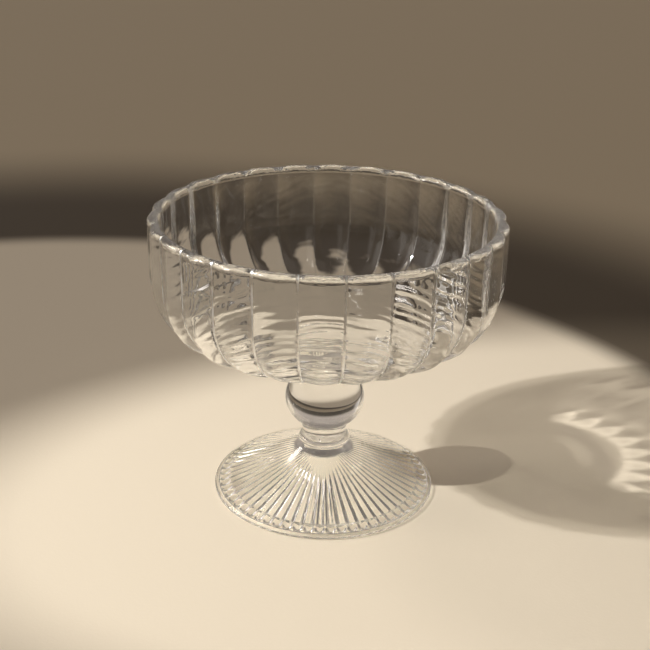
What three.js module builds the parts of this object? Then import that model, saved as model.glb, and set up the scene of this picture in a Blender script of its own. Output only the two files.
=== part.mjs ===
// Pressed-glass dessert cup: a fluted bowl on a ball knop, a neck, a collar and a ribbed conical foot.
// Millimetres, +Z up. The origin is the centre of the foot's flat base, and the cup's axis is Z.
import * as THREE from "three";

// Heights of the five fused sections, each from its lower seat to its upper one.
const footHeight = 16.5;
const collarHeight = 2.4;
const neckLength = 4.9;
const knopHeight = 17.7;
const bowlHeight = 55.5;

// Bowl. The rim radius and the wall are taken at the crests of the flutes, the corner at their grooves.
const rimRadius = 57;
const wallThickness = 4.1;
const rimRounding = 0.7;
const bowlSeatRadius = 8;
const bowlStubHeight = 5.1;
const bowlCornerRadius = 24;
const floorSlopeAtStub = THREE.MathUtils.degToRad(12);
const floorSlopeAtCorner = THREE.MathUtils.degToRad(24);
const insideSlopeAtCorner = THREE.MathUtils.degToRad(20);

// Flutes: convex lobes that meet in sharp grooves. They run on past the corner and die out on the floor.
const fluteCount = 26;
const fluteDepth = 1.55;
const fluteRunOut = 10;
const fluteRunPastCorner = 3;

// Knop, neck and collar. The collar's face reaches a little past the neck, and its side bulges.
const knopRadius = 13.3;
const neckRadius = 7.5;
const collarLand = 0.1;
const collarBulge = 1;

// Foot, outside: the top sweeps a little below a straight cone, and the edge is thin.
const footRadius = 37.4;
const footSweep = 1;
const footEdgeHeight = 1.3;
const footEdgeChamfer = 0.4;

// Foot, hollow underside: a flat bearing ring, a band of beads, a ring step, ribs and a flat crown.
const bearingInset = 0.8;
const bearingWidth = 1.2;
const bearingHeight = 0.9;
const beadBandWidth = 2.8;
const beadBandRise = 0.8;
const beadRelief = 0.7;
const ringStep = 0.5;
const ribCount = 60;
const ribFlankAngle = THREE.MathUtils.degToRad(25);
const crownRadius = 9;
const crownThickness = 5.5;

// How finely the round forms are divided.
const stepsPerFlute = 4;
const stepsPerRib = 2;
const stemSteps = 40;
const ballSteps = 10;
const curveSteps = 4;
const cornerSteps = 6;
const roundingSteps = 2;

// Seat heights, stacked from the base, and the sizes that mating pieces share.
const collarBase = footHeight;
const neckBase = collarBase + collarHeight;
const knopBase = neckBase + neckLength;
const bowlBase = knopBase + knopHeight;
const rimTop = bowlBase + bowlHeight;
const collarFaceRadius = neckRadius + collarLand;
const collarRadius = collarFaceRadius + collarBulge;

function glass() {
  return new THREE.MeshStandardMaterial({
    color: 0xe9eeeb,
    roughness: 0.05,
    metalness: 0,
    transparent: true,
    opacity: 0.35,
  });
}

// A profile is a list of rows. A row is a point of the profile, radius and height, and a shift:
// how far the pressed pattern moves that point where the pattern is fullest.
function row(radius, height, shift = new THREE.Vector2()) {
  return { point: new THREE.Vector2(radius, height), shift };
}

// Rows along a curve. relief(point) gives how far the pattern stands out, square to the curve.
function rowsAlong(curve, steps, relief = () => 0) {
  return Array.from({ length: steps + 1 }, (_, i) => {
    const point = curve.getPoint(i / steps);
    const tangent = curve.getTangent(i / steps);
    const shift = new THREE.Vector2(tangent.y, -tangent.x).multiplyScalar(relief(point));
    return row(point.x, point.y, shift);
  });
}

// An arc of a profile; angles run from the outward direction, and rise towards +Z.
function arc(radius, height, reachOut, reachUp, start, end) {
  return new THREE.EllipseCurve(radius, height, reachOut, reachUp, start, end, end < start);
}

// The share of a repeat that lies between its middle and this turn: 0 in the middle, 1 at the border.
function acrossRepeat(turn, count) {
  return 2 * Math.abs(turn * count - Math.round(turn * count));
}

// Turns a profile about Z into a closed solid. A turn of 0 faces -Y, and it grows towards +X.
// share(turn) gives how much of each row's shift applies there.
function turned(profile, steps, share = () => 0) {
  const rows = profile.filter(({ point }, i) => i === 0 || !point.equals(profile[i - 1].point));
  const geometry = new THREE.LatheGeometry(rows.map(({ point }) => point), steps);
  const position = geometry.attributes.position;
  for (let k = 0; k < position.count; k += 1) {
    const { point, shift } = rows[k % rows.length];
    const turn = (Math.floor(k / rows.length) % steps) / steps;
    const moved = point.clone().addScaledVector(shift, share(turn));
    const angle = 2 * Math.PI * turn;
    position.setXYZ(k, moved.x * Math.sin(angle), moved.y, moved.x * Math.cos(angle));
  }
  return geometry.rotateX(Math.PI / 2);
}

function piece(name, geometry) {
  const mesh = new THREE.Mesh(geometry, glass());
  mesh.name = name;
  return mesh;
}

// Outside, the floor is a parabola from the stub to a corner arc, and the wall is upright.
// Inside, the corner has the same centre, and the floor is a parabola that is level in the middle.
function bowl() {
  const grooveRadius = rimRadius - fluteDepth;
  const cornerX = grooveRadius - bowlCornerRadius;
  const stubTop = bowlBase + bowlStubHeight;
  const floorEnd = cornerX + bowlCornerRadius * Math.sin(floorSlopeAtCorner);
  const floorMiddle = (bowlSeatRadius + floorEnd) / 2;
  const middleHeight = stubTop + (floorMiddle - bowlSeatRadius) * Math.tan(floorSlopeAtStub);
  const endHeight = middleHeight + (floorEnd - floorMiddle) * Math.tan(floorSlopeAtCorner);
  const cornerZ = endHeight + bowlCornerRadius * Math.cos(floorSlopeAtCorner);
  const outsideFloor = new THREE.QuadraticBezierCurve(
    new THREE.Vector2(bowlSeatRadius, stubTop),
    new THREE.Vector2(floorMiddle, middleHeight),
    new THREE.Vector2(floorEnd, endHeight),
  );
  const cornerStart = floorSlopeAtCorner - Math.PI / 2;
  const outsideCorner = arc(cornerX, cornerZ, bowlCornerRadius, bowlCornerRadius, cornerStart, 0);

  const insideRadius = rimRadius - wallThickness;
  const insideCornerRadius = insideRadius - cornerX;
  const cornerEnd = insideSlopeAtCorner - Math.PI / 2;
  const insideCorner = arc(cornerX, cornerZ, insideCornerRadius, insideCornerRadius, 0, cornerEnd);
  const insideEnd = insideCorner.getPoint(1);
  const insideHeight = insideEnd.y - (insideEnd.x / 2) * Math.tan(insideSlopeAtCorner);
  const insideFloor = new THREE.QuadraticBezierCurve(
    insideEnd,
    new THREE.Vector2(insideEnd.x / 2, insideHeight),
    new THREE.Vector2(0, insideHeight),
  );

  const fluteEnd = endHeight - fluteRunPastCorner;
  const lobe = ({ y }) => fluteDepth * THREE.MathUtils.smoothstep(y, fluteEnd, fluteEnd + fluteRunOut);
  const rimLobe = new THREE.Vector2(fluteDepth, 0);
  const roundingBase = rimTop - rimRounding;
  const rimArc = (radius, start, end) => arc(radius, roundingBase, rimRounding, rimRounding, start, end);
  const outerRounding = rimArc(grooveRadius - rimRounding, 0, Math.PI / 2);
  const innerRounding = rimArc(insideRadius + rimRounding, Math.PI / 2, Math.PI);
  const profile = [
    row(0, bowlBase),
    row(bowlSeatRadius, bowlBase),
    ...rowsAlong(outsideFloor, curveSteps, lobe),
    ...rowsAlong(outsideCorner, cornerSteps, lobe).slice(1),
    ...rowsAlong(outerRounding, roundingSteps).map(({ point }) => row(point.x, point.y, rimLobe)),
    ...rowsAlong(innerRounding, roundingSteps),
    ...rowsAlong(insideCorner, curveSteps),
    ...rowsAlong(insideFloor, curveSteps).slice(1),
  ];
  const flute = (turn) => 1 - acrossRepeat(turn, fluteCount) ** 2;
  return piece("bowl", turned(profile, fluteCount * stepsPerFlute, flute));
}

// A ball flattened so that it passes through the edges of both its flat seats.
function knop() {
  const lowerReach = Math.sqrt(1 - (neckRadius / knopRadius) ** 2);
  const upperReach = Math.sqrt(1 - (bowlSeatRadius / knopRadius) ** 2);
  const halfHeight = knopHeight / (lowerReach + upperReach);
  const middle = knopBase + halfHeight * lowerReach;
  const side = arc(0, middle, knopRadius, halfHeight, -Math.asin(lowerReach), Math.asin(upperReach));
  const profile = [
    row(0, knopBase),
    row(neckRadius, knopBase),
    ...rowsAlong(side, ballSteps).slice(1, -1),
    row(bowlSeatRadius, bowlBase),
    row(0, bowlBase),
  ];
  return piece("knop", turned(profile, stemSteps));
}

function neck() {
  const profile = [
    row(0, neckBase),
    row(neckRadius, neckBase),
    row(neckRadius, knopBase),
    row(0, knopBase),
  ];
  return piece("neck", turned(profile, stemSteps));
}

function collar() {
  const halfHeight = collarHeight / 2;
  const middle = collarBase + halfHeight;
  const side = arc(collarFaceRadius, middle, collarBulge, halfHeight, -Math.PI / 2, Math.PI / 2);
  const profile = [
    row(0, collarBase),
    row(collarFaceRadius, collarBase),
    ...rowsAlong(side, 2 * curveSteps).slice(1, -1),
    row(collarFaceRadius, neckBase),
    row(0, neckBase),
  ];
  return piece("collar", turned(profile, stemSteps));
}

// Ribs and beads stand down from the hollow, sharp at their crests and in the valleys between.
function foot() {
  const bearingOuter = footRadius - bearingInset;
  const bearingInner = bearingOuter - bearingWidth;
  const beadMiddle = bearingInner - beadBandWidth / 2;
  const ringRadius = bearingInner - beadBandWidth;
  const ringHeight = bearingHeight + beadBandRise;
  const crownHeight = footHeight - crownThickness;
  const ribSlope = Math.tan(ribFlankAngle) * (Math.PI / ribCount);
  const bead = new THREE.Vector2(0, -beadRelief);
  const rib = (radius, height) => row(radius, height, new THREE.Vector2(0, -radius * ribSlope));
  const edgeTop = new THREE.Vector2(footRadius - footEdgeChamfer, footEdgeHeight);
  const seatEdge = new THREE.Vector2(collarRadius, footHeight);
  const sweepControl = edgeTop.clone().lerp(seatEdge, 0.5);
  sweepControl.y -= 2 * footSweep;
  const sweep = new THREE.QuadraticBezierCurve(edgeTop, sweepControl, seatEdge);
  const profile = [
    row(0, crownHeight),
    rib(crownRadius, crownHeight),
    rib(ringRadius, ringHeight - ringStep),
    row(ringRadius, ringHeight),
    row(beadMiddle, bearingHeight + beadBandRise / 2, bead),
    row(bearingInner, bearingHeight),
    row(bearingInner, 0),
    row(bearingOuter, 0),
    row(footRadius, footEdgeChamfer),
    row(footRadius, footEdgeHeight - footEdgeChamfer),
    ...rowsAlong(sweep, curveSteps),
    row(0, footHeight),
  ];
  const ridge = (turn) => 1 - acrossRepeat(turn, ribCount);
  return piece("foot", turned(profile, ribCount * stepsPerRib, ridge));
}

const cup = new THREE.Group();
cup.name = "dessert_cup";
cup.add(bowl(), knop(), neck(), collar(), foot());

export default cup;
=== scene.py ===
"""Dessert cup of clear pressed glass: the looks of the packed part.

Each piece of glass is a profile turned about the Z axis, with the pressed pattern added to it as a
relief. Lengths are in metres, angles in radians, +Z is up and -Y faces the camera.
"""

import math

import bpy
import numpy as np
from mathutils import Matrix, Vector


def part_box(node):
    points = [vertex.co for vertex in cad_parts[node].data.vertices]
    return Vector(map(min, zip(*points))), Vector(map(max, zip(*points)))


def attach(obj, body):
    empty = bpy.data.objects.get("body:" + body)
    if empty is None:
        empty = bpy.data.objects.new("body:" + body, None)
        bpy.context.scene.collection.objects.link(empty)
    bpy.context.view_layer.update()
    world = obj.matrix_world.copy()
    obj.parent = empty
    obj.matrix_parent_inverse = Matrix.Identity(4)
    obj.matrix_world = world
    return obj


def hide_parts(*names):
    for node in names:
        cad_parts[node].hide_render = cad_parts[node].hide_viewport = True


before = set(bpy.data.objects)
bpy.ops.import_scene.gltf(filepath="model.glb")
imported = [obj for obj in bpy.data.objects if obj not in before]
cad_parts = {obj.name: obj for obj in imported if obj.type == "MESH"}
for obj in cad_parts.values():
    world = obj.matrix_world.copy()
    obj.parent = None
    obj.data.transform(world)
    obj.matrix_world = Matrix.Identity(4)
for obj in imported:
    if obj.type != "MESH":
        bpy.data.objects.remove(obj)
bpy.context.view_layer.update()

bl_info = {
    "name": "Pressed-glass dessert cup",
    "version": (1, 0, 0),
    "blender": (4, 5, 0),
    "location": "3D View > Sidebar > Dessert Cup",
    "description": "Builds the glass of a fluted dessert cup, and the stage it is shown on",
    "category": "Add Mesh",
}

BODY = "root"
STEPS_PER_FLUTE = 18
STEPS_PER_RIB = 12
STEM_STEPS = 160
SHARP_EDGE = math.radians(40)
SAME_POINT = 1e-8
LIGHT_BOUNCES = 40
GLOSSY_BOUNCES = 24
BOWL_LOW, BOWL_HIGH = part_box("bowl")
KNOP_LOW, KNOP_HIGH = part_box("knop")
NECK_LOW, NECK_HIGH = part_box("neck")
COLLAR_LOW, COLLAR_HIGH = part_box("collar")
FOOT_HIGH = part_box("foot")[1]


def length(name, description, default):
    """A property that holds a length."""
    return bpy.props.FloatProperty(
        name=name, description=description, default=default, unit="LENGTH", precision=4
    )


def angle(name, description, degrees):
    """A property that holds an angle; its default is given in degrees."""
    return bpy.props.FloatProperty(
        name=name, description=description, default=math.radians(degrees), subtype="ANGLE"
    )


def colour(name, description, default):
    """A property that holds a linear colour."""
    return bpy.props.FloatVectorProperty(
        name=name, description=description, default=default, size=3, subtype="COLOR", min=0, max=1
    )


def number(name, description, default, unit="NONE"):
    """A property that holds a plain number, or one in a unit of its own."""
    return bpy.props.FloatProperty(name=name, description=description, default=default, unit=unit)


def share(name, description, default):
    """A property that holds a share or a roughness, from 0 to 1."""
    return bpy.props.FloatProperty(
        name=name, description=description, default=default, subtype="FACTOR", min=0, max=1, precision=3
    )


def point(name, description, default):
    """A property that holds a point in space."""
    return bpy.props.FloatVectorProperty(
        name=name, description=description, default=default, size=3, subtype="TRANSLATION", unit="LENGTH"
    )


def count(name, description, default):
    """A property that holds how many there are of something."""
    return bpy.props.IntProperty(name=name, description=description, default=default, min=1)


class BowlSizes(bpy.types.PropertyGroup):
    """Sizes of the fluted bowl."""

    rim_radius: length("Rim radius", "From the axis to a flute's crest", BOWL_HIGH.y)
    wall: length("Wall", "Thickness of the wall at a flute's crest", 0.0041)
    rim_rounding: length("Rim rounding", "Radius of the rim's two edges", 0.0014)
    lip_height: length("Lip height", "How far below the rim the grooves start to fill up", 0.014)
    lip_fill: share("Lip fill", "Share of a groove's depth that is filled up at the rim", 0.2)
    seat_radius: length("Seat radius", "Radius of the stub that stands on the knop", 0.008)
    stub_height: length("Stub height", "Height of the stub under the floor", 0.0051)
    stub_cove: length("Stub cove", "Radius between the stub and the floor", 0.0025)
    corner_radius: length("Corner radius", "Radius from floor to wall, in a groove", 0.024)
    slope_at_stub: angle("Slope at stub", "How steeply the floor leaves the stub", 12)
    slope_at_corner: angle("Slope at corner", "How steeply the floor meets the corner", 24)
    slope_inside: angle("Slope inside", "How steeply the inside floor meets its corner", 20)
    level_radius: length("Level radius", "Radius of the level middle of the inside floor", 0.018)
    knee_radius: length("Knee radius", "Radius from that level middle to the slope", 0.026)
    flute_count: count("Flutes", "How many flutes stand round the bowl", 26)
    flute_depth: length("Flute depth", "From a groove out to a crest", 0.00155)
    flute_run_out: length("Flute run-out", "Height over which the flutes die out", 0.010)
    flute_past_corner: length("Flute past corner", "How far below the corner they end", 0.003)
    groove_softness: length("Groove softness", "How softly a groove is rounded", 0.0007)


class StemSizes(bpy.types.PropertyGroup):
    """Sizes of the knop, the neck and the collar."""

    knop_radius: length("Knop radius", "Radius of the ball at its middle", KNOP_HIGH.x)
    neck_radius: length("Neck radius", "Radius of the plain neck", NECK_HIGH.x)
    collar_radius: length("Collar radius", "Radius of the collar at its middle", COLLAR_HIGH.x)
    collar_bulge: length("Collar bulge", "How far the collar's side bulges", 0.0010)


class FootSizes(bpy.types.PropertyGroup):
    """Sizes of the conical foot."""

    radius: length("Foot radius", "From the axis to the foot's edge", FOOT_HIGH.x)
    sweep: length("Sweep", "How far the top sags below a straight cone", 0.001)
    edge_height: length("Edge height", "Thickness of the foot's rounded edge", 0.0014)
    edge_width: length("Edge width", "Width of that edge, on which the cup stands", 0.0020)
    band_height: length("Band height", "Height of the band of beads at its outer side", 0.0010)
    bead_band: length("Bead band", "Width of the band of beads", 0.0036)
    bead_rise: length("Bead rise", "How much higher the band is at its inner side", 0.0010)
    bead_relief: length("Bead relief", "How far a bead stands down", 0.0013)
    ring_step: length("Ring step", "Step between the beads and the ribs", 0.0005)
    rib_count: count("Ribs", "How many ribs, and beads, lie under the foot", 60)
    rib_flank: angle("Rib flank", "Slope of a rib's sides", 36)
    crown_radius: length("Crown radius", "Radius of the flat top of the hollow", 0.0055)
    rib_start: length("Rib start", "Radius at which the ribs stand at full height", 0.018)
    crown_thickness: length("Crown thickness", "Glass above that flat top", 0.0055)


class GlassLook(bpy.types.PropertyGroup):
    """Finish of the pressed glass."""

    clear: colour("Clear", "Colour that the glass lets through", (0.995, 0.997, 0.992))
    cord: colour("Cord", "Colour in the faint streaks of the melt", (0.975, 0.985, 0.970))
    cord_pitch: length("Cord pitch", "Distance between those streaks", 0.03)
    foot_passes: colour("Foot passes", "Lamp light that passes a face of the foot", (0.41, 0.41, 0.405))
    bowl_passes: colour("Bowl passes", "Lamp light that passes a face of the bowl", (0.70, 0.70, 0.69))
    ior: number("Index", "Index of refraction", 1.52)
    smooth: share("Smooth", "Roughness of the fire-polished glass", 0.004)
    handled: share("Handled", "Roughness where the glass has been handled", 0.02)
    handled_pitch: length("Handled pitch", "Distance between those places", 0.014)
    ripple: length("Ripple", "Height of the slow ripples that the mould leaves", 0.00012)
    ripple_pitch: length("Ripple pitch", "Distance between those ripples", 0.011)
    chill: length("Chill", "Height of the marks that a cold plunger leaves inside", 0.0006)
    chill_pitch: length("Chill pitch", "Distance between those marks", 0.0020)
    chill_lean: length("Chill lean", "How far they rise across a flute at most", 0.009)
    chill_wander: length("Chill wander", "How far they stray up and down", 0.004)
    wander_pitch: length("Wander pitch", "Distance over which they stray", 0.013)
    chill_top: length("Chill top", "How far below the rim they end in the front flute", 0.010)
    chill_climb: length("Chill climb", "How much higher they end in the flutes next to it", 0.002)
    chill_behind: share("Chill behind", "Share of their height at the back of the bowl", 0.05)
    # Painted highlight: a metallic share in the groove bottoms makes them shine as bright lines, standing
    # in for the glass's own reflections there.
    groove_glint: share("Silvered", "Share of light that the bottom of a groove throws back", 0.9)
    groove_glint_behind: share("Silvered behind", "How much of that is left at the back", 0.25)
    groove_glint_pitch: length("Silvered pitch", "Distance between the worn places of such a line", 0.005)
    groove_roughness: share("Groove roughness", "Roughness in the bottom of a groove", 0.45)
    sparkle: length("Sparkle", "Height of the small dents along the rim", 0.00045)
    sparkle_pitch: length("Sparkle pitch", "Distance between those dents", 0.0020)
    ground: share("Ground", "Roughness of the rim, where its edge was ground", 0.08)


class StageLook(bpy.types.PropertyGroup):
    """Floor, light and camera."""

    floor: colour("Floor", "Colour of the floor round the cup", (0.80, 0.705, 0.555))
    # Painted shade: a dark ring in the floor's colour that stands in for the shade beyond the pale
    # middle.
    painted_shade: colour("Gloom", "Colour of the floor where it leaves the light", (0.085, 0.064, 0.04))
    backdrop: colour("Backdrop", "Colour of the floor far behind the cup", (0.52, 0.43, 0.30))
    floor_middle: point("Floor middle", "Middle of the pale floor", (-0.115, -0.04, 0.0))
    floor_roughness: share("Floor roughness", "Roughness of the floor", 0.75)
    grain: length("Grain", "Height of the floor's fine grain", 0.00004)
    grain_pitch: length("Grain pitch", "Distance between its lumps", 0.0012)
    bright: colour("Bright", "Colour of the left side and of the window", (1.0, 0.92, 0.84))
    dark: colour("Dark", "Colour of the surroundings in front and on the right", (0.03, 0.024, 0.018))
    wall: colour("Wall", "Colour of the surroundings behind the cup", (0.42, 0.36, 0.31))
    ceiling: colour("Ceiling", "Colour of the surroundings overhead", (0.14, 0.123, 0.114))
    window_strength: number("Window strength", "How bright the window behind the cup is", 14.0)
    key_power: number("Key power", "Watts of the soft spotlight on the left", 126.0, "POWER")
    key_colour: colour("Key colour", "Colour of that light", (1.0, 0.98, 0.95))
    key_place: point("Key place", "Where it stands", (-1.32, -0.38, 0.97))
    key_target: point("Key target", "Where it points", (0.0, -0.012, 0.04))
    key_radius: length("Key radius", "Radius of its lamp", 0.022)
    key_spread: angle("Key spread", "Angle of its cone", 8)
    key_blend: share("Key blend", "Share of the cone over which it fades", 0.06)
    camera_distance: length("Camera distance", "From the axis, level", 0.3676)
    camera_height: length("Camera height", "Above the floor", 0.2182)
    camera_turn: angle("Camera turn", "How far the camera stands round from -Y", 1.4)
    camera_aim: angle("Camera aim", "How far it looks past the axis", 0.061)
    camera_pitch: angle("Camera pitch", "How far it looks down", 23.462)
    camera_roll: angle("Camera roll", "How far it leans", 1.083)
    lens: number("Lens", "Focal length in millimetres, on a 36 mm sensor", 67.64, "CAMERA")


def line(start, end, steps):
    """Points of a straight line: start + t (end - start)."""
    t = np.linspace(0, 1, steps)[:, None]
    return (1 - t) * np.asarray(start) + t * np.asarray(end)


def arc(centre, radii, start, end, steps):
    """Points of an ellipse: centre + radii (cos a, sin a), a from start to end."""
    a = np.linspace(start, end, steps)
    return np.asarray(centre) + np.asarray(radii) * np.stack([np.cos(a), np.sin(a)], axis=-1)


def parabola(start, control, end, steps):
    """Points of a parabola: (1-t)^2 start + 2 t (1-t) control + t^2 end."""
    t = np.linspace(0, 1, steps)[:, None]
    ends = (1 - t) ** 2 * np.asarray(start) + t**2 * np.asarray(end)
    return ends + 2 * t * (1 - t) * np.asarray(control)


def smooth_step(value, low, high):
    """3 t^2 - 2 t^3 with t from 0 at low to 1 at high."""
    t = np.clip((value - low) / (high - low), 0, 1)
    return t * t * (3 - 2 * t)


def outward(points):
    """Unit normals of a profile that runs from the base up: its tangent, turned to the right."""
    tangent = np.gradient(points, axis=0)
    normal = np.stack([tangent[:, 1], -tangent[:, 0]], axis=-1)
    return normal / np.linalg.norm(normal, axis=1, keepdims=True)


def rows(points, shift=0):
    """Rows of a profile: radius, height, and how far a full relief moves them in both."""
    points = np.asarray(points)
    return np.hstack([points, np.broadcast_to(shift, points.shape)])


def joined(*stretches):
    """One profile from several stretches, without the points that two of them share."""
    profile = np.vstack(stretches)
    apart = np.linalg.norm(np.diff(profile[:, :2], axis=0), axis=1) > SAME_POINT
    return profile[np.concatenate([[True], apart])]


def turned(profile, turns, relief):
    """A profile turned about Z: (r sin t, -r cos t, z), with relief x shift added to a row's r and z."""
    radius = profile[:, :1] + profile[:, 2:3] * relief
    height = profile[:, 1:2] + profile[:, 3:4] * relief
    across = (radius * np.sin(turns), -radius * np.cos(turns))
    return np.stack(np.broadcast_arrays(*across, height), axis=-1)


def even_turns(steps):
    """Turns spread evenly round the axis."""
    return np.arange(steps) * (2 * np.pi / steps)


def glass_piece(name, grid, node, materials, seam_below=False, seam_above=False, inside=None):
    """Makes a closed piece from a grid of points. Its first and last rows are single points on the axis;
    the discs round them are fused seams where seam_below or seam_above says so. inside marks the rows
    that the plunger has shaped."""
    ring = 1 + np.arange(grid[1:-1, :, 0].size).reshape(grid[1:-1, :, 0].shape)
    after = np.roll(ring, -1, axis=1)
    top = ring[-1, -1] + 1
    sides = np.stack([ring[:-1], after[:-1], after[1:], ring[1:]], axis=-1).reshape(-1, 4)
    below = np.stack([np.zeros_like(ring[0]), after[0], ring[0]], axis=-1)
    above = np.stack([ring[-1], after[-1], np.full_like(ring[-1], top)], axis=-1)
    points = np.vstack([grid[0, :1], grid[1:-1].reshape(-1, 3), grid[-1, :1]])
    mesh = bpy.data.meshes.new(name)
    mesh.from_pydata(points.tolist(), [], below.tolist() + sides.tolist() + above.tolist())
    slots = np.zeros(len(mesh.polygons), np.int32)
    slots[: len(below)] = seam_below
    slots[len(below) + len(sides) :] = seam_above
    mesh.polygons.foreach_set("material_index", slots)
    mesh.polygons.foreach_set("use_smooth", np.ones(len(mesh.polygons), bool))
    mesh.set_sharp_from_angle(angle=SHARP_EDGE)
    for material in materials:
        mesh.materials.append(material)
    if inside is not None:
        marks = np.concatenate([inside[:1], np.repeat(inside[1:-1], grid.shape[1]), inside[-1:]])
        attribute = mesh.attributes.new("inside", "FLOAT", "POINT")
        attribute.data.foreach_set("value", marks.astype(np.float32))
    mesh.update()
    if mesh.validate():
        raise RuntimeError(f"{name} has faces that are not valid")
    piece = bpy.data.objects.new(name, mesh)
    bpy.context.scene.collection.objects.link(piece)
    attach(piece, BODY)
    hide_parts(node)
    return piece


def bowl_profile(sizes):
    """Outside, a stub with a cove, a parabola for the floor, a corner arc and an upright wall.
    Inside, an arc about the same centre, a straight slope, an arc for the knee, and a level middle."""
    groove = sizes.rim_radius - sizes.flute_depth
    corner_r = groove - sizes.corner_radius
    base, rim = BOWL_LOW.z, BOWL_HIGH.z
    stub_top = base + sizes.stub_height
    floor_end_r = corner_r + sizes.corner_radius * math.sin(sizes.slope_at_corner)
    middle_r = (sizes.seat_radius + floor_end_r) / 2
    middle_z = stub_top + (middle_r - sizes.seat_radius) * math.tan(sizes.slope_at_stub)
    floor_end_z = middle_z + (floor_end_r - middle_r) * math.tan(sizes.slope_at_corner)
    corner = (corner_r, floor_end_z + sizes.corner_radius * math.cos(sizes.slope_at_corner))

    cove_reach = sizes.stub_cove / math.tan((math.pi / 2 + sizes.slope_at_stub) / 2)
    cove_centre = (sizes.seat_radius + sizes.stub_cove, stub_top - cove_reach)
    cove_end = math.pi / 2 + sizes.slope_at_stub
    cove = arc(cove_centre, sizes.stub_cove, math.pi, cove_end, steps=9)
    floor = parabola(cove[-1], (middle_r, middle_z), (floor_end_r, floor_end_z), steps=16)
    bend = arc(corner, sizes.corner_radius, sizes.slope_at_corner - math.pi / 2, 0, steps=40)
    rounding_z = rim - sizes.rim_rounding
    lip_z = rim - sizes.lip_height
    wall = line(bend[-1], (groove, lip_z), steps=5)
    lip = line((groove, lip_z), (groove, rounding_z), steps=12)

    inside_r = sizes.rim_radius - sizes.wall
    lip_depth = (1 - sizes.lip_fill) * sizes.flute_depth
    lip_r = sizes.rim_radius - lip_depth
    outer_centre = (lip_r - sizes.rim_rounding, rounding_z)
    outer_edge = arc(outer_centre, sizes.rim_rounding, 0, math.pi / 2, steps=8)
    inner_centre = (inside_r + sizes.rim_rounding, rounding_z)
    inner_edge = arc(inner_centre, sizes.rim_rounding, math.pi / 2, math.pi, steps=8)
    inside_wall = line((inside_r, rounding_z), (inside_r, corner[1]), steps=6)
    slope_end = sizes.slope_inside - math.pi / 2
    inside_bend = arc(corner, inside_r - corner_r, 0, slope_end, steps=28)
    end_r, end_z = inside_bend[-1]
    knee_r = sizes.level_radius + sizes.knee_radius * math.sin(sizes.slope_inside)
    knee_z = end_z - (end_r - knee_r) * math.tan(sizes.slope_inside)
    knee_centre = (sizes.level_radius, knee_z + sizes.knee_radius * math.cos(sizes.slope_inside))
    knee = arc(knee_centre, sizes.knee_radius, slope_end, -math.pi / 2, steps=24)

    flutes = joined(rows(floor), rows(bend), rows(wall), rows(lip))[:, :2]
    end = floor_end_z - sizes.flute_past_corner
    fade = smooth_step(flutes[:, 1:], end, end + sizes.flute_run_out)
    fill = smooth_step(flutes[:, 1:], lip_z, rounding_z) * sizes.lip_fill
    depth = outward(flutes) * fade * sizes.flute_depth
    return joined(
        rows([(0, base), (sizes.seat_radius, base)]),
        rows(line((sizes.seat_radius, base), cove[0], steps=3)),
        rows(cove),
        rows(flutes + fill * depth, (1 - fill) * depth),
        rows(outer_edge, (lip_depth, 0)),
        rows(inner_edge),
        rows(inside_wall),
        rows(inside_bend),
        rows(line((end_r, end_z), knee[0], steps=10)),
        rows(knee),
        rows(line(knee[-1], (0, knee[-1, 1]), steps=14)),
    )


def flute_turns(flutes, steps):
    """Turns that crowd towards the grooves: crest + half a flute x sin u, u from -90 to 90 degrees."""
    u = np.linspace(-np.pi / 2, np.pi / 2, steps, endpoint=False)
    crests = even_turns(flutes)[:, None]
    return (crests + np.sin(u) * (np.pi / flutes)).ravel()


def flute_relief(turns, flutes, half_width, softness):
    """1 - a^2 across a flute, a from 0 at its crest to 1 in its groove, as s (2 - s) with s the distance
    from the groove. sqrt(d^2 + c^2) - c in place of that distance d rounds the groove."""
    across = turns * flutes / (2 * np.pi)
    from_groove = (1 - 2 * np.abs(across - np.round(across))) * half_width
    softened = np.sqrt(from_groove**2 + softness**2) - softness
    share = softened / half_width
    return share * (2 - share)


def knop_profile(stem, bowl):
    """An ellipse that passes through the edges of both flat seats."""
    low, high = KNOP_LOW.z, KNOP_HIGH.z
    below = math.acos(stem.neck_radius / stem.knop_radius)
    above = math.acos(bowl.seat_radius / stem.knop_radius)
    half_height = (high - low) / (math.sin(below) + math.sin(above))
    middle = low + half_height * math.sin(below)
    side = arc((0, middle), (stem.knop_radius, half_height), -below, above, steps=56)
    return joined(rows([(0, low)]), rows(side), rows([(0, high)]))


def neck_profile(stem):
    """A plain cylinder."""
    low, high = NECK_LOW.z, NECK_HIGH.z
    side = line((stem.neck_radius, low), (stem.neck_radius, high), steps=8)
    return joined(rows([(0, low)]), rows(side), rows([(0, high)]))


def collar_profile(stem):
    """A disc whose side is half an ellipse; its top face reaches past the neck."""
    low, high = COLLAR_LOW.z, COLLAR_HIGH.z
    face = stem.collar_radius - stem.collar_bulge
    radii = (stem.collar_bulge, (high - low) / 2)
    side = arc((face, (low + high) / 2), radii, -math.pi / 2, math.pi / 2, steps=24)
    return joined(rows([(0, low)]), rows(side), rows([(stem.neck_radius, high), (0, high)]))


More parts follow.
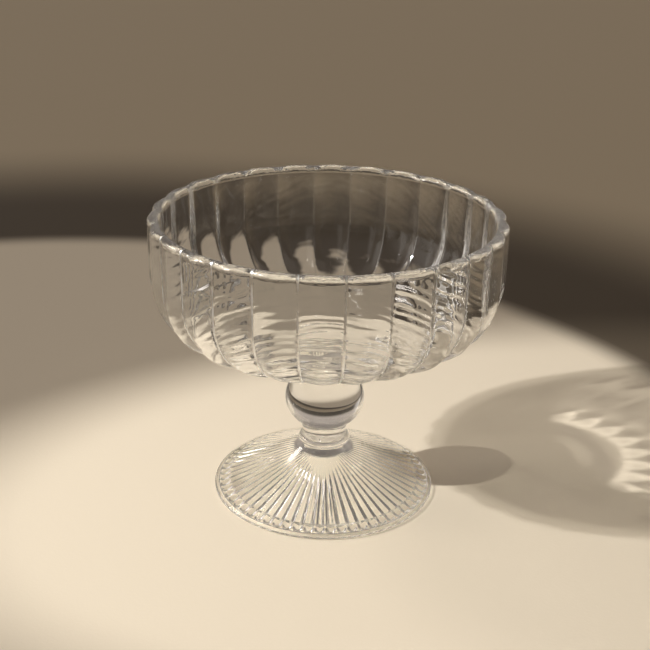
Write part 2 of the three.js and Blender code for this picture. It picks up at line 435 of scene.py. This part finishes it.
def foot_grid(foot, stem):
    """A hollow cone. Under it, ribs stand down as a rounded zigzag, arcsin(tip cos a), whose height grows
    with the radius, and beads as paraboloids: 1 - a^2 - b^2, a across the band and b along it."""
    tip = 0.97  # 1 would leave the zigzag sharp
    bead_share = 0.92  # of the distance between two beads
    edge_end = math.pi / 3  # where the foot's rounded edge meets its top
    turns = even_turns(foot.rib_count * STEPS_PER_RIB)
    half_width, half_edge = foot.edge_width / 2, foot.edge_height / 2
    band_r = foot.radius - foot.edge_width
    ring_r = band_r - foot.bead_band
    ring_z = foot.band_height + foot.bead_rise
    crown_z = FOOT_HIGH.z - foot.crown_thickness
    seat = (stem.collar_radius, FOOT_HIGH.z)
    collar_face = stem.collar_radius - stem.collar_bulge

    crown = line((0, crown_z), (foot.crown_radius, crown_z), steps=5)
    ribs = line((foot.crown_radius, crown_z), (ring_r, ring_z - foot.ring_step), steps=40)
    band = line((ring_r, ring_z), (band_r, foot.band_height), steps=14)
    edge_centre = (foot.radius - half_width, half_edge)
    edge = arc(edge_centre, (half_width, half_edge), -math.pi, edge_end, steps=28)
    control = (edge[-1] + np.asarray(seat)) / 2 - (0, 2 * foot.sweep)
    top = parabola(edge[-1], control, seat, steps=30)

    down = (0, -1)
    rib_height = ribs[:, :1] * math.tan(foot.rib_flank) * math.pi / foot.rib_count
    rib_fade = smooth_step(ribs[:, :1], foot.crown_radius, foot.rib_start)
    profile = joined(
        rows(crown),
        rows(ribs, np.multiply(rib_height * rib_fade, down)),
        rows(band, np.multiply(foot.bead_relief, down)),
        rows(edge),
        rows(top),
        rows([(collar_face, FOOT_HIGH.z), (0, FOOT_HIGH.z)]),
    )
    along = turns * foot.rib_count
    zigzag = (1 + np.arcsin(tip * np.cos(along)) / math.asin(tip)) / 2
    across = 2 * (profile[:, :1] - ring_r) / foot.bead_band - 1
    beside = np.abs((along / np.pi + 1) % 2 - 1)
    bead = np.clip(1 - across**2 - (beside / bead_share) ** 2, 0, 1)
    on_ribs = np.arange(len(profile))[:, None] < len(crown) + len(ribs) - 1
    return turned(profile, turns, np.where(on_ribs, zigzag, bead))


class Wire:
    """A shader value that can stand in a sum, a difference or a product: each adds one Math node."""

    def __init__(self, graph, socket):
        self.graph = graph
        self.socket = socket

    def __add__(self, other):
        return self.graph.maths("ADD", self, other)

    def __radd__(self, other):
        return self.graph.maths("ADD", other, self)

    def __sub__(self, other):
        return self.graph.maths("SUBTRACT", self, other)

    def __rsub__(self, other):
        return self.graph.maths("SUBTRACT", other, self)

    def __mul__(self, other):
        return self.graph.maths("MULTIPLY", self, other)

    def __rmul__(self, other):
        return self.graph.maths("MULTIPLY", other, self)


def opaque(colour_value):
    """A colour with its alpha."""
    return (*colour_value, 1.0)


def set_stops(ramp, stops):
    """Gives a colour ramp its stops: pairs of place and colour."""
    ramp.interpolation = "EASE"
    for place, _ in stops[len(ramp.elements) :]:
        ramp.elements.new(place)
    for element, (place, paint) in zip(ramp.elements, stops):
        element.position = place
        element.color = opaque(paint)


class Graph:
    """The nodes of one material or world."""

    def __init__(self, tree):
        self.tree = tree
        tree.nodes.clear()

    def node(self, kind, settings=None, sockets=None, output=0):
        """Adds a node, sets its settings and then its sockets, and gives one of its outputs."""
        made = self.tree.nodes.new(kind)
        for name, value in (settings or {}).items():
            if name == "stops":
                set_stops(made.color_ramp, value)
            else:
                setattr(made, name, value)
        for key, value in (sockets or {}).items():
            if isinstance(value, Wire):
                self.tree.links.new(value.socket, made.inputs[key])
            else:
                made.inputs[key].default_value = value
        return Wire(self, made.outputs[output]) if made.outputs else None

    def maths(self, operation, *values):
        """One Math node, with its values or links in order."""
        return self.node("ShaderNodeMath", {"operation": operation}, dict(enumerate(values)))

    def mixed(self, factor, first, second):
        """A colour between two others."""
        settings = {"data_type": "RGBA", "clamp_factor": True}
        return self.node("ShaderNodeMix", settings, {0: factor, 6: first, 7: second}, output=2)

    def axes(self, place):
        """The three components of a vector."""
        return [self.node("ShaderNodeSeparateXYZ", None, {0: place}, axis) for axis in "XYZ"]

    def noise(self, place, pitch, detail=2.0):
        """Soft noise from 0 to 1 whose lumps are about pitch metres apart."""
        sockets = {"Vector": place, "Scale": 1 / pitch, "Detail": detail}
        return self.node("ShaderNodeTexNoise", None, sockets, "Fac")

    def bumps(self, height, distance, normal=None):
        """The normal of a surface that a height raises by up to distance, on top of another normal."""
        sockets = {"Strength": 1.0, "Distance": distance, "Height": height}
        if normal is not None:
            sockets["Normal"] = normal
        return self.node("ShaderNodeBump", None, sockets)

    def range(self, value, low, high, to_low=0.0, to_high=1.0):
        """A value carried smoothly from one range to another."""
        settings = {"interpolation_type": "SMOOTHSTEP"}
        sockets = {0: value, 1: low, 2: high, 3: to_low, 4: to_high}
        return self.node("ShaderNodeMapRange", settings, sockets)


def new_material(name):
    """An empty material and its nodes."""
    material = bpy.data.materials.new(name)
    material.use_nodes = True
    return material, Graph(material.node_tree)


def turn_round(graph, x, y):
    """How far a point is turned round the axis from -Y."""
    return graph.maths("ARCTAN2", x, y * -1.0)


def chill_marks(graph, place, look, flutes):
    """Height of the marks that a cold plunger leaves inside the bowl: noise in radius and level, so that
    it runs round in rings. Each flute has rings of its own, which lean with the sine of twice its turn.
    They are full in front and faint behind, and end below the rim, lowest in the front flute."""
    fade_start, fade_end = -0.050, -0.018  # along Y
    top_fade = 0.006  # along Z
    left_at_rim = 0.12
    noise_middle = 0.5
    x, y, z = graph.axes(place)
    radius = graph.maths("SQRT", x * x + y * y)
    turn = turn_round(graph, x, y)
    across = turn * (flutes / (2 * math.pi))
    flute = graph.maths("ROUND", across)
    wander = graph.noise(place, look.wander_pitch) * look.chill_wander
    level = z + graph.maths("SINE", turn * 2.0) * (across - flute) * look.chill_lean + wander
    apart = 10 * look.chill_pitch  # far enough for each flute to have noise of its own
    section = graph.node("ShaderNodeCombineXYZ", None, {0: radius, 1: level, 2: flute * apart})
    rings = graph.noise(section, look.chill_pitch, detail=0.0) - noise_middle
    in_front = graph.range(y, fade_start, fade_end, 1.0, look.chill_behind)
    top = BOWL_HIGH.z - look.chill_top
    climb = flute * flute * look.chill_climb
    below_rim = graph.range(z - climb, top - top_fade, top, 1.0, left_at_rim)
    inside = graph.node("ShaderNodeAttribute", {"attribute_name": "inside"}, output="Fac")
    return rings * inside * in_front * below_rim


def groove_glint_lines(graph, place, look, flutes):
    """1 in the bottom of the grooves outside the bowl, and 0 away from them: the mask of the painted
    highlight lines. The turn's distance from the nearest crest, in flutes, is half in a groove. Noise
    breaks the lines up in patches, and they are fainter behind."""
    in_groove = 0.5
    line_core, line_edge = 0.014, 0.042  # in flutes, on either side of the groove
    fade_start, fade_end = -0.03, 0.01  # along Y
    floor_z, wall_z = BOWL_LOW.z + 0.012, BOWL_LOW.z + 0.018
    patchy_levels, patchy_share = (0.35, 0.65), 0.5  # of the noise, and left of the line
    x, y, z = graph.axes(place)
    across = turn_round(graph, x, y) * (flutes / (2 * math.pi))
    from_crest = graph.maths("PINGPONG", across, in_groove)
    glint_lines = graph.range(from_crest, in_groove - line_edge, in_groove - line_core)
    patchy = graph.range(graph.noise(place, look.groove_glint_pitch), *patchy_levels, patchy_share, 1.0)
    in_front = graph.range(y, fade_start, fade_end, 1.0, look.groove_glint_behind)
    above_floor = graph.range(z, floor_z, wall_z)
    inside = graph.node("ShaderNodeAttribute", {"attribute_name": "inside"}, output="Fac")
    return glint_lines * (1.0 - inside) * patchy * in_front * above_floor


def pressed_glass(name, look, passes=None, flutes=0):
    """Fire-polished pressed glass: faint streaks of the melt, slow ripples, and marks of handling.
    Where passes is given, that share of a lamp's light goes straight on through each face. A fluted bowl
    has chill marks inside, a dented and ground rim, and painted highlights in the bottom of its grooves:
    a metallic share that makes them shine as bright lines."""
    streak_levels, smear_levels = (0.4, 0.7), (0.52, 0.72)  # of the noise
    rim_low, rim_full = BOWL_HIGH.z - 0.0022, BOWL_HIGH.z - 0.0012
    material, graph = new_material(name)
    place = graph.node("ShaderNodeTexCoord", output="Object")
    streak = graph.range(graph.noise(place, look.cord_pitch, detail=3.0), *streak_levels)
    smear = graph.range(graph.noise(place, look.handled_pitch, detail=6.0), *smear_levels)
    sockets = {
        "Base Color": graph.mixed(streak, opaque(look.clear), opaque(look.cord)),
        "Roughness": look.smooth + smear * (look.handled - look.smooth),
        "Normal": graph.bumps(graph.noise(place, look.ripple_pitch), look.ripple),
        "IOR": look.ior,
        "Transmission Weight": 1.0,
    }
    if flutes:
        at_rim = graph.range(graph.axes(place)[2], rim_low, rim_full)
        dents = graph.noise(place, look.sparkle_pitch) * at_rim
        marks = graph.bumps(chill_marks(graph, place, look, flutes), look.chill, sockets["Normal"])
        glint_lines = groove_glint_lines(graph, place, look, flutes)
        sockets["Normal"] = graph.bumps(dents, look.sparkle, marks)
        sockets["Roughness"] += at_rim * look.ground + glint_lines * look.groove_roughness
        # Painted highlight: the groove lines are made metallic so that they shine.
        sockets["Metallic"] = glint_lines * look.groove_glint
    surface = graph.node("ShaderNodeBsdfPrincipled", None, sockets)
    if passes is not None:
        through = graph.node("ShaderNodeBsdfTransparent", None, {0: opaque(passes)})
        from_lamp = graph.node("ShaderNodeLightPath", output="Is Shadow Ray")
        surface = graph.node("ShaderNodeMixShader", None, {0: from_lamp, 1: surface, 2: through})
    graph.node("ShaderNodeOutputMaterial", None, {"Surface": surface})
    return material


def fused_seam():
    """The joint of two fused pieces: glass runs on through it, so it neither bends nor stops light."""
    material, graph = new_material("fused_seam")
    surface = graph.node("ShaderNodeBsdfTransparent")
    graph.node("ShaderNodeOutputMaterial", None, {"Surface": surface})
    return material


def glass_materials(name="pressed_glass", passes=None, flutes=0):
    """The glass and the seam of a piece, each made once."""
    look = bpy.context.scene.cup_glass
    glass = bpy.data.materials.get(name) or pressed_glass(name, look, passes, flutes)
    seam = bpy.data.materials.get("fused_seam") or fused_seam()
    return glass, seam


def stem_piece(name, profile, node):
    """Makes a plain turned piece that is fused to its neighbours below and above."""
    grid = turned(profile, even_turns(STEM_STEPS), 0)
    return glass_piece(name, grid, node, glass_materials(), seam_below=True, seam_above=True)


class DESSERTCUP_OT_bowl(bpy.types.Operator):
    """Builds the fluted bowl"""

    bl_idname = "dessert_cup.bowl"
    bl_label = "Bowl"

    def execute(self, context):
        sizes = context.scene.cup_bowl
        turns = flute_turns(sizes.flute_count, STEPS_PER_FLUTE)
        half_width = math.pi * sizes.rim_radius / sizes.flute_count
        relief = flute_relief(turns, sizes.flute_count, half_width, sizes.groove_softness)
        profile = bowl_profile(sizes)
        grid = turned(profile, turns, relief)
        inside = np.arange(len(profile)) > np.argmax(profile[:, 1])
        passes = context.scene.cup_glass.bowl_passes
        materials = glass_materials("bowl_glass", passes, sizes.flute_count)
        piece = glass_piece("bowl_glass", grid, "bowl", materials, seam_below=True, inside=inside)
        piece.cycles.is_caustics_caster = True
        return {"FINISHED"}


class DESSERTCUP_OT_knop(bpy.types.Operator):
    """Builds the ball under the bowl"""

    bl_idname = "dessert_cup.knop"
    bl_label = "Knop"

    def execute(self, context):
        profile = knop_profile(context.scene.cup_stem, context.scene.cup_bowl)
        piece = stem_piece("knop_glass", profile, "knop")
        piece.cycles.is_caustics_caster = True
        return {"FINISHED"}


class DESSERTCUP_OT_neck(bpy.types.Operator):
    """Builds the plain neck"""

    bl_idname = "dessert_cup.neck"
    bl_label = "Neck"

    def execute(self, context):
        stem_piece("neck_glass", neck_profile(context.scene.cup_stem), "neck")
        return {"FINISHED"}


class DESSERTCUP_OT_collar(bpy.types.Operator):
    """Builds the rounded collar"""

    bl_idname = "dessert_cup.collar"
    bl_label = "Collar"

    def execute(self, context):
        stem_piece("collar_glass", collar_profile(context.scene.cup_stem), "collar")
        return {"FINISHED"}


class DESSERTCUP_OT_foot(bpy.types.Operator):
    """Builds the conical foot"""

    bl_idname = "dessert_cup.foot"
    bl_label = "Foot"

    def execute(self, context):
        grid = foot_grid(context.scene.cup_foot, context.scene.cup_stem)
        materials = glass_materials("foot_glass", context.scene.cup_glass.foot_passes)
        glass_piece("foot_glass", grid, "foot", materials, seam_above=True)
        return {"FINISHED"}


def floor_material(look):
    """A plain pale floor, round, that passes softly into a ring of painted shade and then into a darker
    backdrop. The zones are given by their distance from its middle."""
    material, graph = new_material("pale_floor")
    place = graph.node("ShaderNodeTexCoord", output="Object")
    sockets = {0: place, 1: look.floor_middle}
    reach = graph.node("ShaderNodeVectorMath", {"operation": "DISTANCE"}, sockets, "Value")
    # The second and third stops are painted shade: a dark ring between the pale floor and the backdrop.
    zones = [(0.270, look.floor), (0.290, look.painted_shade), (0.335, look.painted_shade), (0.47, look.backdrop)]
    surface = graph.node(
        "ShaderNodeBsdfPrincipled",
        None,
        {
            "Base Color": graph.node("ShaderNodeValToRGB", {"stops": zones}, {0: reach}),
            "Roughness": look.floor_roughness,
            "Normal": graph.bumps(graph.noise(place, look.grain_pitch, detail=3.0), look.grain),
        },
    )
    graph.node("ShaderNodeOutputMaterial", None, {"Surface": surface})
    return material


def add_floor(look):
    """A flat square floor, just under the cup."""
    reach = 12.0
    low = -0.0001
    corners = [(-reach, -reach, low), (reach, -reach, low), (reach, reach, low), (-reach, reach, low)]
    mesh = bpy.data.meshes.new("floor")
    mesh.from_pydata(corners, [], [(0, 1, 2, 3)])
    mesh.materials.append(floor_material(look))
    floor = bpy.data.objects.new("floor", mesh)
    bpy.context.scene.collection.objects.link(floor)
    floor.cycles.is_caustics_receiver = True


def add_key_light(look):
    """A soft spotlight that faces its target, and whose light the glass gathers."""
    light = bpy.data.lights.new("key_light", "SPOT")
    light.energy = look.key_power
    light.color = look.key_colour
    light.spot_size = look.key_spread
    light.spot_blend = look.key_blend
    light.shadow_soft_size = look.key_radius
    light.cycles.is_caustics_light = True
    lamp = bpy.data.objects.new("key_light", light)
    lamp.location = look.key_place
    facing = Vector(look.key_target) - Vector(look.key_place)
    lamp.rotation_euler = facing.to_track_quat("-Z", "Y").to_euler()
    bpy.context.scene.collection.objects.link(lamp)


def add_room(look):
    """Plain warm surroundings: bright on the left, a wall and a window behind, a dim ceiling, and dark
    elsewhere. A border is the range of a direction's component over which one passes into the next."""
    back_border, floor_border = (0.0, 0.4), (0.08, 0.18)
    ceiling_border, left_border = (0.25, 0.6), (-0.9, -0.6)
    window_towards, window_border = (-0.70, 0.35, 0.62), (0.987, 0.992)
    world = bpy.data.worlds.new("room")
    world.use_nodes = True
    graph = Graph(world.node_tree)
    towards = graph.node("ShaderNodeTexCoord", output="Generated")
    right, back, up = graph.axes(towards)
    behind = graph.range(back, *back_border) * graph.range(up, *floor_border)
    overhead = graph.range(up, *ceiling_border)
    on_left = graph.range(right, *left_border, 1.0, 0.0)
    sockets = {0: towards, 1: window_towards}
    near_window = graph.node("ShaderNodeVectorMath", {"operation": "DOT_PRODUCT"}, sockets, "Value")
    window = graph.range(near_window, *window_border)
    paint = graph.mixed(behind, opaque(look.dark), opaque(look.wall))
    paint = graph.mixed(overhead, paint, opaque(look.ceiling))
    paint = graph.mixed(on_left, paint, opaque(look.bright))
    paint = graph.mixed(window, paint, opaque(look.bright))
    strength = 1.0 + window * (look.window_strength - 1.0)
    surface = graph.node("ShaderNodeBackground", None, {"Color": paint, "Strength": strength})
    graph.node("ShaderNodeOutputWorld", None, {"Surface": surface})
    bpy.context.scene.world = world


def add_camera(look):
    """The photograph's camera: it stands off the axis and looks down at the cup."""
    camera = bpy.data.objects.new("camera", bpy.data.cameras.new("camera"))
    camera.data.lens = look.lens
    camera.data.clip_start = 0.01
    turn, reach = look.camera_turn, look.camera_distance
    place = Vector((reach * math.sin(turn), -reach * math.cos(turn), look.camera_height))
    heading = Matrix.Rotation(turn + look.camera_aim, 4, "Z")
    tilt = Matrix.Rotation(math.pi / 2 - look.camera_pitch, 4, "X")
    lean = Matrix.Rotation(look.camera_roll, 4, "Z")
    camera.matrix_world = Matrix.Translation(place) @ heading @ tilt @ lean
    bpy.context.scene.collection.objects.link(camera)
    bpy.context.scene.camera = camera


class DESSERTCUP_OT_stage(bpy.types.Operator):
    """Builds the floor, the surroundings, the light and the camera"""

    bl_idname = "dessert_cup.stage"
    bl_label = "Stage"

    def execute(self, context):
        look = context.scene.cup_stage
        add_floor(look)
        add_room(look)
        add_key_light(look)
        add_camera(look)
        context.scene.view_settings.view_transform = "Standard"
        context.scene.cycles.max_bounces = LIGHT_BOUNCES
        context.scene.cycles.transmission_bounces = LIGHT_BOUNCES
        context.scene.cycles.transparent_max_bounces = LIGHT_BOUNCES
        context.scene.cycles.glossy_bounces = GLOSSY_BOUNCES
        return {"FINISHED"}


BUILD_STEPS = (
    DESSERTCUP_OT_stage,
    DESSERTCUP_OT_bowl,
    DESSERTCUP_OT_knop,
    DESSERTCUP_OT_neck,
    DESSERTCUP_OT_collar,
    DESSERTCUP_OT_foot,
)
SETTINGS = {
    "cup_bowl": BowlSizes,
    "cup_stem": StemSizes,
    "cup_foot": FootSizes,
    "cup_glass": GlassLook,
    "cup_stage": StageLook,
}


class DESSERTCUP_PT_panel(bpy.types.Panel):
    """Lists the sizes and looks of the cup, and the steps that build it"""

    bl_idname = "DESSERTCUP_PT_panel"
    bl_label = "Dessert Cup"
    bl_space_type = "VIEW_3D"
    bl_region_type = "UI"
    bl_category = "Dessert Cup"

    def draw(self, context):
        for name, group in SETTINGS.items():
            box = self.layout.box()
            box.label(text=group.__doc__)
            for key in group.__annotations__:
                box.prop(getattr(context.scene, name), key)
        for step in BUILD_STEPS:
            self.layout.operator(step.bl_idname)


CLASSES = (*SETTINGS.values(), *BUILD_STEPS, DESSERTCUP_PT_panel)


def register():
    """Registers the classes and hangs the settings on the scene."""
    for cls in CLASSES:
        bpy.utils.register_class(cls)
    for name, group in SETTINGS.items():
        setattr(bpy.types.Scene, name, bpy.props.PointerProperty(type=group))


def unregister():
    """Takes the settings and the classes away again."""
    for name in SETTINGS:
        delattr(bpy.types.Scene, name)
    for cls in reversed(CLASSES):
        bpy.utils.unregister_class(cls)


def main():
    """Builds the stage and every piece."""
    register()
    for step in BUILD_STEPS:
        group, name = step.bl_idname.split(".")
        getattr(getattr(bpy.ops, group), name)()


if __name__ == "__main__":
    main()
